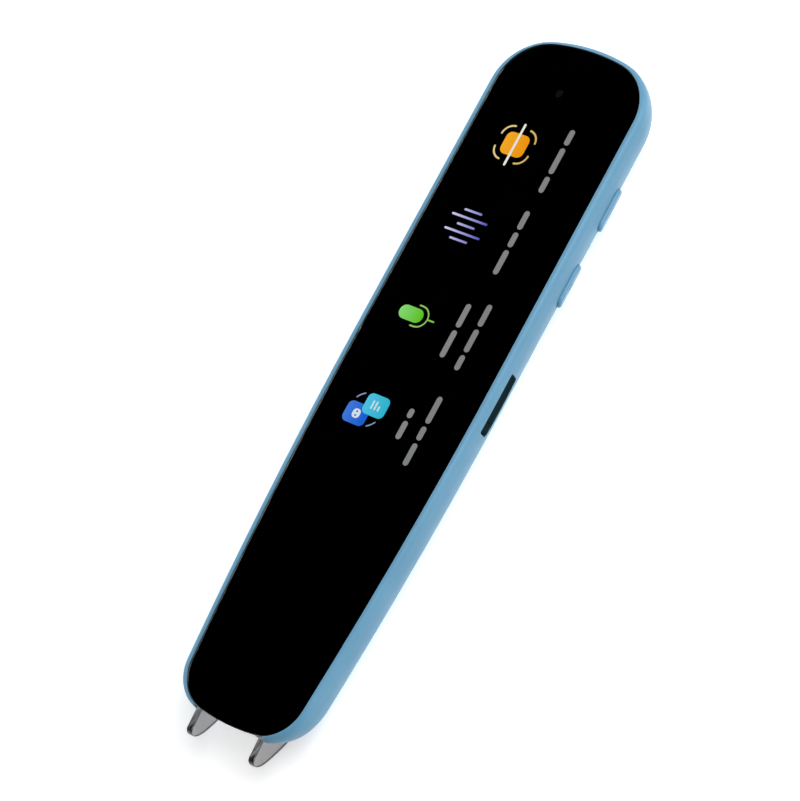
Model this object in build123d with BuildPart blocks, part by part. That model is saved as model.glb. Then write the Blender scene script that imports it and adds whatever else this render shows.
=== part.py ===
from build123d import *
import os
from math import asin, cos, radians, sin, sqrt

os.makedirs("parts", exist_ok=True)

# Pen-shaped scanning translator.
# +X is the button side, +Y the rear end, +Z out of the screen; the flat back lies on Z = 0.

# --- overall sizes -------------------------------------------------------------------------
THICK = 13.8  # back face to glass face
HALF = 19.0  # half width at the widest level
TIP_Y = -78.4  # tip end of the tub
REAR_Y = 79.1  # rear end of the tub
NARROWING = 3.45  # how far each side draws in over NARROW_RUN
NARROW_RUN = 87.0
STRAIGHT_TO = 9.0  # sides are straight from here to the rear
TIP_CORNER = 9.0
REAR_CORNER = 12.2
TIP_BOW = 49.0  # radius of the bowed ends in plan
REAR_BOW = 42.0
RIM = 1.4  # upright band under the glass
RIM_SOFT = 1.25  # round on the band's top edge
WALL_R = 14.0  # arc of the side wall
WALL_END = 60  # degrees of that arc
BACK_R = 2.2  # soft corner between wall and back
REAR_R = 13.0  # the same two arcs at the rear end
REAR_BACK_R = 8.5
TIP_R = 8.0  # and at the tip, where a long arc then runs to the back
TIP_END = 58
TIP_SLOPE_R = 36.98
TIP_SLOPE_IN = 23.36  # how far in that long arc would end

# --- glass and screen ----------------------------------------------------------------------
GLASS_HALF = 17.5
GLASS_TIP = TIP_Y + 0.5
GLASS_REAR = 78.0
GLASS_TIP_CORNER = 9.0
GLASS_CORNER = 11.0
GLASS_BOW = 48.0
GLASS_T = 0.8
LEDGE_Z = 11.9  # shelf in the tub that carries the midframe
CELL_X = 14.9
CELL_Y = (-22.0, 66.0)

# --- side features -------------------------------------------------------------------------
BUTTON_Z = 6.4
BUTTON_LONG = 9.6
BUTTON_HIGH = 3.6
BUTTON_PROUD = 0.7
BUTTON_GAP = 0.22
POWER_Y = 49.5
HOME_Y = 31.7
MIC_Y = 40.8
MIC_Z = 6.2
PORT_Y = 2.75
PORT_Z = 9.2
POCKET = (-4.1, 9.6, 7.35, 11.3)  # y and z limits of the port pocket
POCKET_X = 16.8
HINGE_X = 17.4
HINGE_Y = -2.8
KNUCKLE_R = 0.95
PIN_R = 0.25

# --- grille and scanning tip ---------------------------------------------------------------
SLOT_PITCH = 2.75
SLOT_W = 0.65
GRILLE_Y = 54.5
FLOOR_Z = 1.4
NOTCH_HALF = 9.05
NOTCH_Y = -66.6
LEG_X = (7.45, 8.95)
LEG_SOFT = 0.28
HOOD_REAR = -67.1
TAIL_Y = -61.2

# --- inside ----------------------------------------------------------------------------------
FRAME_TOP = 12.85
BOARD_Z = 8.2
BOARD_TOP = BOARD_Z + 0.8
FLANGE_X = 15.5
SCREW_Y = (-5.0, 18.0, 61.0)
SCREWS = [(x, y) for x in (-13.7, 13.7) for y in SCREW_Y]
EYE_Z = 8.4  # height of the camera's axis
CAMERA_Y = -60.05  # face of the camera board
TIP_SWITCH_X = 8.2
TIP_SWITCH_Z = 8.0


def box(x0, x1, y0, y1, z0, z1, mode=Mode.ADD):
    """Block between two corners, inside the open part."""
    with Locations(((x0 + x1) / 2, (y0 + y1) / 2, (z0 + z1) / 2)):
        Box(x1 - x0, y1 - y0, z1 - z0, mode=mode)


def save(part, label):
    part.label = label
    export_step(part, f"parts/{label}.step")
    print(label, len(part.solids()), round(part.volume, 2), part.is_valid)


def drawn_in(y):
    """How far the side has moved in at y."""
    return NARROWING * (max(0.0, STRAIGHT_TO - y) / NARROW_RUN) ** 2


def sag(radius, half):
    """Depth of an arc of this radius over a half chord."""
    return radius - sqrt(radius * radius - half * half)


def outline(half, tip, rear, tip_r, rear_r, z, bow=REAR_BOW):
    """Plan outline at height z: straight at the rear, narrowing to the tip, bowed ends."""
    mid = (STRAIGHT_TO + tip) / 2
    narrow = half - drawn_in(tip)
    rear_side = rear - sag(bow, half)
    tip_side = tip + sag(TIP_BOW, narrow)
    with BuildSketch(Plane.XY.offset(z)) as plan:
        with BuildLine():
            Line((half, STRAIGHT_TO), (half, rear_side))
            ThreePointArc((half, rear_side), (0, rear), (-half, rear_side))
            Line((-half, rear_side), (-half, STRAIGHT_TO))
            ThreePointArc((-half, STRAIGHT_TO), (drawn_in(mid) - half, mid), (-narrow, tip_side))
            ThreePointArc((-narrow, tip_side), (0, tip), (narrow, tip_side))
            ThreePointArc((narrow, tip_side), (half - drawn_in(mid), mid), (half, STRAIGHT_TO))
        make_face()
        fillet(plan.vertices().group_by(Axis.Y)[-1], rear_r)
        fillet(plan.vertices().group_by(Axis.Y)[0], tip_r)
    return plan.sketch


# --- outer form: how far each side has moved in at depth d below the glass face -------------
def wall_in(d):
    knee = RIM + WALL_R * sin(radians(WALL_END))
    if d <= knee:
        return WALL_R * (1 - cos(asin(max(0.0, d - RIM) / WALL_R)))
    turn = asin(min(1.0, (d - knee) / BACK_R + sin(radians(WALL_END))))
    return WALL_R / 2 + BACK_R * (0.5 - cos(turn))


def rear_in(d):
    knee = RIM + REAR_R * sin(radians(WALL_END))
    if d <= knee:
        return REAR_R * (1 - cos(asin(max(0.0, d - RIM) / REAR_R)))
    turn = asin(min(1.0, (d - knee) / REAR_BACK_R + sin(radians(WALL_END))))
    return REAR_R / 2 + REAR_BACK_R * (0.5 - cos(turn))


def tip_in(d):
    if d <= RIM + TIP_R * sin(radians(TIP_END)):
        return TIP_R * (1 - cos(asin(max(0.0, d - RIM) / TIP_R)))
    return TIP_SLOPE_IN - TIP_SLOPE_R * cos(asin(min(1.0, 1 - (THICK - d) / TIP_SLOPE_R)))


def glass_outline(inside, z):
    """Outline of the cover glass, or one that lies evenly inside it."""
    return outline(
        GLASS_HALF - inside,
        GLASS_TIP + inside,
        GLASS_REAR - inside,
        GLASS_TIP_CORNER - inside,
        GLASS_CORNER - inside,
        z,
        GLASS_BOW,
    )


def level(d):
    """Outer outline at depth d."""
    rear_r = max(7.0, REAR_CORNER - 0.6 * rear_in(d))
    tip_r = max(6.0, TIP_CORNER - 0.25 * tip_in(d))
    return outline(HALF - wall_in(d), TIP_Y + tip_in(d), REAR_Y - rear_in(d), tip_r, rear_r, THICK - d)


def wall_arc(radius, y0, y1):
    """Round bar along Y whose surface runs with the side wall."""
    with BuildPart() as bar:
        with BuildSketch(Plane.XZ.offset(-y0)):
            with Locations((HALF - WALL_R, THICK - RIM)):
                Circle(radius)
        extrude(amount=y0 - y1)
    return bar.part


WALL_DEPTHS = [RIM + WALL_R * sin(radians(a)) for a in (0, 8, 16, 24, 32, 40, 48, 55, 60)]
BACK_DEPTHS = [13.66, 13.76, THICK]


# ============================================================================================
# housing: the blue moulded tub
# ============================================================================================
with BuildPart() as band:
    with BuildSketch(Plane.XY.offset(THICK - RIM)):
        add(outline(HALF, TIP_Y, REAR_Y, TIP_CORNER, REAR_CORNER, THICK - RIM))
    extrude(amount=RIM)
    fillet(band.faces().sort_by(Axis.Z)[-1].edges(), RIM_SOFT)

with BuildPart() as belly:
    for d in WALL_DEPTHS + BACK_DEPTHS:
        with BuildSketch(Plane.XY.offset(THICK - d)):
            add(level(d))
    loft()

# inside: half width, tip end, rear end and corner radii at rising heights
HOLLOW = (
    (FLOOR_Z, 11.9, -63.6, 69.9, 5.5, 6.0),
    (3.4, 13.8, -68.9, 72.5, 6.2, 8.0),
    (5.4, 15.4, -72.8, 74.7, 7.0, 9.6),
    (7.6, 16.4, -75.8, 76.4, 8.0, 10.6),
    (LEDGE_Z + 0.01, 16.4, -76.2, 76.7, 8.2, 10.8),
)

with BuildPart() as hollow:
    for z, half, tip, rear, tip_r, rear_r in HOLLOW:
        with BuildSketch(Plane.XY.offset(z)):
            add(outline(half, tip, rear, tip_r, rear_r, z))
    loft(ruled=True)

with BuildPart() as housing:
    add(band.part)
    add(belly.part)
    add(hollow.part, mode=Mode.SUBTRACT)
    with BuildSketch(Plane.XY.offset(LEDGE_Z)):
        add(glass_outline(-0.1, LEDGE_Z))
    extrude(amount=3, mode=Mode.SUBTRACT)
    # thicker wall behind the port, pads for the board, bosses for its screws
    box(15.6, 16.7, POCKET[0] - 0.8, POCKET[1] + 0.8, 6.0, LEDGE_Z)
    for side in (-1, 1):
        for y in SCREW_Y:
            x0, x1 = sorted((side * 12.4, side * 15.9))
            box(x0, x1, y - 1.6, y + 1.6, 4.0, BOARD_Z)
    with BuildSketch(Plane.XY.offset(BOARD_Z)):
        with Locations(*SCREWS):
            Circle(0.7)
    extrude(amount=-3.2, mode=Mode.SUBTRACT)
    # scanning notch through back and rim
    with BuildSketch(Plane.XY.offset(-1)) as notch:
        with Locations((0, NOTCH_Y - 10)):
            Rectangle(2 * NOTCH_HALF, 20)
        fillet(notch.vertices().group_by(Axis.Y)[-1], 2)
    extrude(amount=16, mode=Mode.SUBTRACT)
    # button windows, and the flat seats their flanges stop against
    for y in (POWER_Y, HOME_Y):
        with BuildSketch(Plane.YZ.offset(14)):
            with Locations((y, BUTTON_Z)):
                RectangleRounded(BUTTON_LONG + 2 * BUTTON_GAP, BUTTON_HIGH + 2 * BUTTON_GAP, 1.75)
        extrude(amount=6, mode=Mode.SUBTRACT)
        box(13.5, FLANGE_X + 0.05, y - 6.2, y + 6.2, 4.6, 8.2, Mode.SUBTRACT)
    # microphone hole and the seat of its boot
    box(13.0, 15.45, MIC_Y - 2.0, MIC_Y + 2.0, 4.2, 8.2, Mode.SUBTRACT)
    with BuildSketch(Plane.YZ.offset(14)):
        with Locations((MIC_Y, MIC_Z)):
            Circle(0.45)
    extrude(amount=6, mode=Mode.SUBTRACT)
    # port pocket with an arched lower edge, the port hole and the bore of the hinge pin
    with BuildSketch(Plane.YZ.offset(POCKET_X)) as pocket:
        with BuildLine():
            Line((POCKET[0], POCKET[3]), (POCKET[1], POCKET[3]))
            Line((POCKET[1], POCKET[3]), (POCKET[1], POCKET[2] + 0.5))
            ThreePointArc((POCKET[1], POCKET[2] + 0.5), (PORT_Y, POCKET[2]), (POCKET[0], POCKET[2] + 0.5))
            Line((POCKET[0], POCKET[2] + 0.5), (POCKET[0], POCKET[3]))
        make_face()
        fillet(pocket.vertices().group_by(Axis.Y)[-1], 0.45)
        fillet(pocket.vertices().group_by(Axis.Y)[0], 0.7)
    extrude(amount=4, mode=Mode.SUBTRACT)
    with BuildSketch(Plane.YZ.offset(15)):
        with Locations((PORT_Y, PORT_Z)):
            RectangleRounded(9.08, 3.4, 1.55)
    extrude(amount=3, mode=Mode.SUBTRACT)
    with BuildSketch(Plane.XY.offset(LEDGE_Z)):
        with Locations((HINGE_X, HINGE_Y)):
            Circle(PIN_R)
    extrude(amount=7.0 - LEDGE_Z, mode=Mode.SUBTRACT)
    with BuildSketch(Plane.XY.offset(POCKET[2] + 0.35)):
        with Locations((HINGE_X, HINGE_Y)):
            Circle(KNUCKLE_R + 0.1)
    extrude(amount=POCKET[3] - POCKET[2] - 0.4, mode=Mode.SUBTRACT)
    # speaker slots, with a tapering flute between each pair
    for i in range(6):
        off = i - 2.5
        long = 14.0 if abs(off) > 2 else 15.4
        with BuildSketch(Plane.XY.offset(-1)):
            with Locations((off * SLOT_PITCH, GRILLE_Y)):
                SlotOverall(long, SLOT_W, rotation=90)
        extrude(amount=3, mode=Mode.SUBTRACT)
    # soft thumb scoop over the rear edge
    with Locations((0, 86.8, -17.2)):
        Sphere(24, mode=Mode.SUBTRACT)


def flute(x):
    """V groove along Y, drawn out to a point towards the tip."""
    with BuildPart() as groove:
        for y, half_w, deep in ((40.8, 0.02, 0.0), (46.6, 0.92, 0.42), (62.6, 0.98, 0.5), (64.9, 0.5, 0.0)):
            with BuildSketch(Plane.XZ.offset(-y)):
                Polygon((x - half_w, -0.05), (x + half_w, -0.05), (x, deep), align=None)
        loft(ruled=True)
    return groove.part


with BuildPart() as housing_fluted:
    add(housing.part)
    for i in range(5):
        add(flute((i - 2) * SLOT_PITCH), mode=Mode.SUBTRACT)
save(housing_fluted.part, "housing")

# ============================================================================================
# front: glass, its adhesive, the midframe and the display under it
# ============================================================================================
with BuildPart() as cover_glass:
    with BuildSketch(Plane.XY.offset(THICK - GLASS_T)):
        add(glass_outline(0.0, THICK - GLASS_T))
    extrude(amount=GLASS_T)
    chamfer(cover_glass.faces().sort_by(Axis.Z)[-1].edges(), 0.12)
save(cover_glass.part, "cover_glass")

SENSOR = (-1.9, 67.45)

with BuildPart() as glass_adhesive:
    with BuildSketch(Plane.XY.offset(FRAME_TOP)):
        add(glass_outline(0.3, FRAME_TOP))
        with Locations((0, 22)):
            Rectangle(30.2, 88.4, mode=Mode.SUBTRACT)
        with Locations(SENSOR):
            Circle(1.1, mode=Mode.SUBTRACT)
        with Locations((0, -79.5)):
            Rectangle(18.6, 40, mode=Mode.SUBTRACT)
    extrude(amount=THICK - GLASS_T - FRAME_TOP)
save(glass_adhesive.part, "glass_adhesive")

with BuildPart() as midframe:
    with BuildSketch(Plane.XY.offset(LEDGE_Z)):
        add(glass_outline(0.1, LEDGE_Z))
        with Locations(SENSOR):
            Circle(0.9, mode=Mode.SUBTRACT)
    extrude(amount=FRAME_TOP - LEDGE_Z)
    box(-15.5, 15.5, -22.6, 66.6, 10.3, LEDGE_Z + 0.2)
    box(-15.0, 15.0, -22.1, 66.1, 10.9, 14, Mode.SUBTRACT)
    # slot for the display film, window over the port, gap for the hood
    box(-5.2, 5.2, -24.0, -22.0, 10, 14, Mode.SUBTRACT)
    box(9.2, 15.6, -2.2, 7.7, 10, 10.95, Mode.SUBTRACT)
    box(-9.3, 9.3, -80, -60.0, 10, 14, Mode.SUBTRACT)
    # posts that carry the tip switches
    for side in (-1, 1):
        x0, x1 = sorted((side * 7.2, side * 9.9))
        box(x0, x1, -59.7, -56.7, 10.2, LEDGE_Z)
save(midframe.part, "midframe")

with BuildPart() as display_cell:
    box(-CELL_X, CELL_X, CELL_Y[0] + 0.1, CELL_Y[1] - 0.1, 12.0, 12.98)
save(display_cell.part, "display_cell")

with BuildPart() as backlight_unit:
    box(-CELL_X, CELL_X, CELL_Y[0] + 0.1, CELL_Y[1] - 0.1, 10.95, 11.98)
    for x in (-9, -3, 3, 9):
        box(x - 1.5, x + 1.5, CELL_Y[1] - 1.6, CELL_Y[1] - 0.1, 11.0, 11.3, Mode.SUBTRACT)
save(backlight_unit.part, "backlight_unit")


def film(points, half_w):
    """Folded flexible circuit: a thin (y, z) section carried across x."""
    with BuildPart() as strip:
        with BuildSketch(Plane.YZ.offset(-half_w)):
            Polygon(*points, align=None)
        extrude(amount=2 * half_w)
    return strip.part


display_flex = film(
    [(-21.9, 12.35), (-23.55, 12.35), (-23.55, 9.8), (-4.0, 9.8)]
    + [(-4.0, 9.95), (-23.4, 9.95), (-23.4, 12.2), (-21.9, 12.2)],
    5.0,
)
save(display_flex, "display_flex")

with BuildPart() as display_socket:
    box(-5.5, 5.5, -7.2, -4.2, BOARD_TOP, 9.78)
save(display_socket.part, "display_socket")

with BuildPart() as light_sensor:
    with Locations((SENSOR[0], SENSOR[1], 12.0)):
        Cylinder(0.8, 1.9)
save(light_sensor.part, "light_sensor")

with BuildPart() as antenna:
    box(-10.5, 10.5, 68.8, 73.6, 11.55, 11.88)
    for x in (-6.6, 0.0, 6.6):
        box(x - 2.4, x + 2.4, 70.4, 71.6, 11.5, 12.0, Mode.SUBTRACT)
save(antenna.part, "antenna")

# ============================================================================================
# main board and what it carries
# ============================================================================================
with BuildPart() as main_board:
    with BuildSketch(Plane.XY.offset(BOARD_Z)) as board:
        with Locations((0, 28)):
            RectangleRounded(30.2, 72, 2.0)
        with Locations((12.5, PORT_Y)):
            Rectangle(6.0, 9.3, mode=Mode.SUBTRACT)
        with Locations(*SCREWS):
            Circle(0.8, mode=Mode.SUBTRACT)
    extrude(amount=BOARD_TOP - BOARD_Z)
save(main_board.part, "main_board")

with BuildPart() as frame_screws:
    for x, y in SCREWS:
        with BuildSketch(Plane.XY.offset(BOARD_TOP)):
            with Locations((x, y)):
                Circle(1.15)
        extrude(amount=0.6)
        with BuildSketch(Plane.XY.offset(BOARD_TOP)):
            with Locations((x, y)):
                Circle(0.68)
        extrude(amount=-3.8)
        for w, h in ((1.3, 0.3), (0.3, 1.3)):
            box(x - w / 2, x + w / 2, y - h / 2, y + h / 2, 9.3, 10, Mode.SUBTRACT)
save(frame_screws.part, "frame_screws")

for label, limits in {
    "processor": (-10.5, 0.5, 31.0, 42.0, BOARD_TOP, 9.7),
    "memory_chip": (-9.5, -0.5, 19.0, 28.0, BOARD_TOP, 9.6),
    "power_chip": (7.0, 11.0, 12.0, 16.0, BOARD_TOP, 9.75),
    "sound_chip": (7.0, 10.5, 44.0, 47.5, BOARD_TOP, 9.6),
    "camera_socket": (-4.0, 4.0, -7.6, -4.6, 7.9, BOARD_Z),
    "battery_socket": (-9.0, -3.0, 25.0, 28.6, 6.6, BOARD_Z),
}.items():
    with BuildPart() as chip:
        box(*limits)
        if label.endswith("chip") or label == "processor":
            chamfer(chip.faces().sort_by(Axis.Z)[-1].edges(), 0.12)
    save(chip.part, label)

with BuildPart() as shield_can:
    box(-12.0, 2.0, 17.5, 43.5, BOARD_TOP, 10.1)
    box(-11.85, 1.85, 17.65, 43.35, 8.9, 9.95, Mode.SUBTRACT)
    with BuildSketch(Plane.XY.offset(9.9)):
        with Locations((-5, 30.5)):
            with GridLocations(4.0, 4.0, 3, 6):
                Circle(0.5)
    extrude(amount=1, mode=Mode.SUBTRACT)
save(shield_can.part, "shield_can")

with BuildPart() as radio_module:
    box(-10.0, 2.0, 49.0, 60.0, BOARD_TOP, 9.3)
    box(-9.6, 1.6, 49.4, 57.0, 9.3, 10.1)
save(radio_module.part, "radio_module")

with BuildPart() as coils:
    for x, y in ((8.6, 20.5), (8.6, 25.5), (8.6, 52.0)):
        box(x - 1.8, x + 1.8, y - 1.8, y + 1.8, BOARD_TOP, 10.0)
save(coils.part, "coils")

# ============================================================================================
# battery
# ============================================================================================
with BuildPart() as battery_pack:
    box(-11.0, 11.0, -42.0, 20.0, 2.0, 7.6)
    fillet(battery_pack.edges().filter_by(Axis.Y), 1.6)
save(battery_pack.part, "battery_pack")

with BuildPart() as battery_pads:
    for x in (-6.5, 6.5):
        box(x - 1.6, x + 1.6, -38.0, 16.0, 1.42, 1.99)
save(battery_pads.part, "battery_pads")

with BuildPart() as battery_lead:
    for x in (-7.2, -4.8):
        with BuildSketch(Plane.XZ.offset(-20.0)):
            with Locations((x, 7.0)):
                Circle(0.38)
        extrude(amount=-5.0)
save(battery_lead.part, "battery_lead")

# ============================================================================================
# speaker and microphone
# ============================================================================================
with BuildPart() as speaker_mesh:
    box(-8.6, 8.6, 45.4, 63.6, FLOOR_Z, 1.5)
save(speaker_mesh.part, "speaker_mesh")

with BuildPart() as speaker_gasket:
    box(-8.8, 8.8, 45.2, 63.8, 1.5, 1.9)
    box(-7.6, 7.6, 46.4, 62.6, 1, 2, Mode.SUBTRACT)
save(speaker_gasket.part, "speaker_gasket")

with BuildPart() as speaker_box:
    box(-9.0, 9.0, 45.0, 64.0, 1.9, 6.9)
    fillet(speaker_box.edges().filter_by(Axis.Z), 1.5)
    box(-8.2, 8.2, 45.8, 63.2, 2.6, 6.2, Mode.SUBTRACT)
    box(-7.1, 7.1, 47.9, 61.1, 1.5, 3, Mode.SUBTRACT)
save(speaker_box.part, "speaker_box")

with BuildPart() as speaker_driver:
    box(-7.0, 7.0, 48.0, 61.0, 2.1, 4.9)
    fillet(speaker_driver.edges().filter_by(Axis.Z), 2.0)
    with BuildSketch(Plane.XY.offset(2.1)):
        with Locations((0, GRILLE_Y)):
            RectangleRounded(12.4, 11.4, 2.6)
    extrude(amount=0.5, mode=Mode.SUBTRACT)
    with BuildSketch(Plane.XY.offset(2.6)):
        with Locations((0, GRILLE_Y)):
            RectangleRounded(7.4, 6.4, 2.4)
    extrude(amount=-0.35)
save(speaker_driver.part, "speaker_driver")

with BuildPart() as speaker_lead:
    for x in (-6.5, -5.3):
        with Locations((x, 46.6, 7.55)):
            Cylinder(0.3, 1.3)
save(speaker_lead.part, "speaker_lead")

with BuildPart() as microphone:
    with BuildSketch(Plane.YZ.offset(11.6)):
        with Locations((MIC_Y, MIC_Z)):
            Circle(1.5)
    extrude(amount=1.7)
save(microphone.part, "microphone")

with BuildPart() as microphone_boot:
    for r, x0, x1, mode in (
        (1.9, 11.6, 15.4, Mode.ADD),
        (1.5, 11.5, 13.3, Mode.SUBTRACT),
        (0.6, 13.0, 16.0, Mode.SUBTRACT),
    ):
        with BuildSketch(Plane.YZ.offset(x0)):
            with Locations((MIC_Y, MIC_Z)):
                Circle(r)
        extrude(amount=x1 - x0, mode=mode)
save(microphone_boot.part, "microphone_boot")

# ============================================================================================
# port: socket, tongue, and the rubber cover on its pin
# ============================================================================================
MOUTH_X = POCKET_X - 0.05
COVER_GAP = 0.15
COVER_BACK = POCKET_X + 0.08
COVER_TOP = POCKET[3] - COVER_GAP
COVER_END = POCKET[1] - COVER_GAP
COVER_LOW = POCKET[2] + 0.76

with BuildPart() as usb_socket:
    for w, h, r, x0, x1, mode in (
        (8.94, 3.26, 1.5, 9.6, MOUTH_X, Mode.ADD),
        (8.34, 2.56, 1.27, 10.0, MOUTH_X + 1, Mode.SUBTRACT),
    ):
        with BuildSketch(Plane.YZ.offset(x0)):
            with Locations((PORT_Y, PORT_Z)):
                RectangleRounded(w, h, r)
        extrude(amount=x1 - x0, mode=mode)
save(usb_socket.part, "usb_socket")

with BuildPart() as usb_tongue:
    with BuildSketch(Plane.YZ.offset(10.0)):
        with Locations((PORT_Y, PORT_Z)):
            RectangleRounded(8.3, 2.5, 1.2)
    extrude(amount=1.2)
    box(11.2, 15.4, PORT_Y - 3.34, PORT_Y + 3.34, PORT_Z - 0.35, PORT_Z + 0.35)
save(usb_tongue.part, "usb_tongue")

with BuildPart() as cover_pin:
    with BuildSketch(Plane.XY.offset(7.0)):
        with Locations((HINGE_X, HINGE_Y)):
            Circle(PIN_R)
    extrude(amount=LEDGE_Z - 0.05 - 7.0)
save(cover_pin.part, "cover_pin")

with BuildPart() as port_cover:
    with BuildSketch(Plane.XY.offset(POCKET[2] + 0.1)) as plate:
        with BuildLine():
            Polyline(
                (COVER_BACK, HINGE_Y),
                (COVER_BACK, COVER_END),
                (HALF + 0.5, COVER_END),
                (HALF + 0.5, HINGE_Y + 1.8),
                (HINGE_X + 0.88, HINGE_Y + 1.68),
                (HINGE_X + 0.88, HINGE_Y + 0.9),
                (HINGE_X + KNUCKLE_R, HINGE_Y),
                (COVER_BACK, HINGE_Y),
            )
        make_face()
        with Locations((HINGE_X, HINGE_Y)):
            Circle(KNUCKLE_R)
    extrude(amount=POCKET[3] - POCKET[2] - 0.25)
    with BuildSketch(Plane.YZ.offset(16)) as face:
        with BuildLine():
            Line((-6, COVER_TOP), (COVER_END, COVER_TOP))
            Line((COVER_END, COVER_TOP), (COVER_END, COVER_LOW))
            ThreePointArc(
                (COVER_END, COVER_LOW),
                (PORT_Y, POCKET[2] + COVER_GAP),
                (POCKET[0] + COVER_GAP, COVER_LOW),
            )
            Line((POCKET[0] + COVER_GAP, COVER_LOW), (-6, COVER_LOW + 0.1))
            Line((-6, COVER_LOW + 0.1), (-6, COVER_TOP))
        make_face()
        fillet(face.vertices().filter_by(lambda v: v.X > 9), 0.7)
    extrude(amount=5, mode=Mode.INTERSECT)
    add(wall_arc(WALL_R - 0.02, POCKET[0] - 1, POCKET[1] + 1), mode=Mode.INTERSECT)
    with BuildSketch(Plane.YZ.offset(COVER_BACK)):
        with Locations((PORT_Y, PORT_Z)):
            RectangleRounded(7.4, 1.9, 0.9)
    extrude(amount=-0.9)
    with BuildSketch(Plane.XY.offset(5)):
        with Locations((HINGE_X, HINGE_Y)):
            Circle(PIN_R + 0.05)
    extrude(amount=8, mode=Mode.SUBTRACT)
save(port_cover.part, "port_cover")

# ============================================================================================
# side buttons with the switches behind them
# ============================================================================================
def cap(y):
    """Capsule key that stands a little proud of the wall, with a flange inside it."""
    with BuildPart() as key:
        with BuildSketch(Plane.YZ.offset(FLANGE_X - 0.05)):
            with Locations((y, BUTTON_Z)):
                RectangleRounded(BUTTON_LONG, BUTTON_HIGH, 1.6)
        extrude(amount=5)
        add(wall_arc(WALL_R + BUTTON_PROUD, y - 10, y + 10), mode=Mode.INTERSECT)
        fillet(key.faces().sort_by(Axis.X)[-1].edges(), 0.45)
        box(FLANGE_X - 0.6, FLANGE_X, y - 6.0, y + 6.0, 4.9, 8.1)
    return key.part


with BuildPart() as power_button:
    add(cap(POWER_Y))
    with BuildSketch(Plane.YZ.offset(18.17)):
        with Locations((POWER_Y, BUTTON_Z)):
            Circle(0.95)
            Circle(0.72, mode=Mode.SUBTRACT)
            with Locations((0.9, 0)):
                Rectangle(0.7, 0.8, mode=Mode.SUBTRACT)
                Rectangle(0.9, 0.24)
    extrude(amount=2, mode=Mode.SUBTRACT)
save(power_button.part, "power_button")

with BuildPart() as home_button:
    add(cap(HOME_Y))
    with BuildSketch(Plane.YZ.offset(18.17)):
        with Locations((HOME_Y, BUTTON_Z)):
            for grow, mode in ((0.0, Mode.ADD), (0.26, Mode.SUBTRACT)):
                Polygon(
                    (-0.75 + grow, -0.7 + grow),
                    (-0.75 + grow, 0.7 - grow),
                    (0.2, 0.7 - grow),
                    (0.95 - 1.4 * grow, 0),
                    (0.2, -0.7 + grow),
                    align=None,
                    mode=mode,
                )
    extrude(amount=2, mode=Mode.SUBTRACT)
save(home_button.part, "home_button")

for name, y in (("power", POWER_Y), ("home", HOME_Y)):
    with BuildPart() as switch:
        box(10.9, 14.1, y - 2.4, y + 2.4, 4.9, BOARD_Z)
        box(13.0, 15.0, y - 1.3, y + 1.3, 5.7, 7.3, Mode.SUBTRACT)
    save(switch.part, name + "_switch")
    with BuildPart() as stem:
        box(13.5, FLANGE_X - 0.6, y - 1.2, y + 1.2, 5.8, 7.2)
    save(stem.part, name + "_stem")

# ============================================================================================
# scanning tip: light tunnel, window, camera
# ============================================================================================
with BuildPart() as scan_baffle:
    with BuildSketch(Plane.YZ.offset(-7.0)):
        Polygon((-60.1, 4.0), (-71.6, 4.0), (-77.3, 9.6), (-77.3, 12.8), (-60.1, 12.8), align=None)
    extrude(amount=14.0)
    box(-6.2, 6.2, -80, -65.4, 4.8, 12.0, Mode.SUBTRACT)
    box(-6.2, 6.2, -64.5, -60, 4.8, 12.0, Mode.SUBTRACT)
    with BuildSketch(Plane.XZ.offset(64)):
        with Locations((0, EYE_Z)):
            Circle(1.6)
    extrude(amount=2, mode=Mode.SUBTRACT)
save(scan_baffle.part, "scan_baffle")

with BuildPart() as scan_window:
    box(-6.2, 6.2, -70.6, -70.0, 4.8, 12.0)
save(scan_window.part, "scan_window")

with BuildPart() as scan_lights:
    for x in (-3.6, 0.0, 3.6):
        for z in (5.7, 11.1):
            box(x - 1.4, x + 1.4, -66.1, -65.4, z - 0.6, z + 0.6)
save(scan_lights.part, "scan_lights")

with BuildPart() as lens_holder:
    with BuildSketch(Plane.XZ.offset(-CAMERA_Y)):
        with Locations((0, EYE_Z)):
            Circle(2.9)
            Circle(2.4, mode=Mode.SUBTRACT)
    extrude(amount=1.2)
    with BuildSketch(Plane.XZ.offset(1.2 - CAMERA_Y)):
        with Locations((0, EYE_Z)):
            Circle(2.9)
            Circle(1.5, mode=Mode.SUBTRACT)
    extrude(amount=3.1)
save(lens_holder.part, "lens_holder")

with BuildPart() as scan_lens:
    with BuildSketch(Plane.XZ.offset(62.7)):
        with Locations((0, EYE_Z)):
            Circle(1.48)
    extrude(amount=1.3)
    fillet(scan_lens.edges(), 0.5)
save(scan_lens.part, "scan_lens")

with BuildPart() as image_sensor:
    box(-1.6, 1.6, CAMERA_Y - 0.65, CAMERA_Y, EYE_Z - 1.3, EYE_Z + 1.3)
save(image_sensor.part, "image_sensor")

with BuildPart() as camera_board:
    box(-7.0, 7.0, CAMERA_Y, CAMERA_Y + 0.8, 4.0, 11.85)
save(camera_board.part, "camera_board")

camera_flex = film(
    [(-59.25, 9.15), (-56.85, 9.15), (-56.85, 7.9), (-5.0, 7.9)]
    + [(-5.0, 7.75), (-57.0, 7.75), (-57.0, 9.0), (-59.25, 9.0)],
    3.0,
)
save(camera_flex, "camera_flex")

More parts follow.
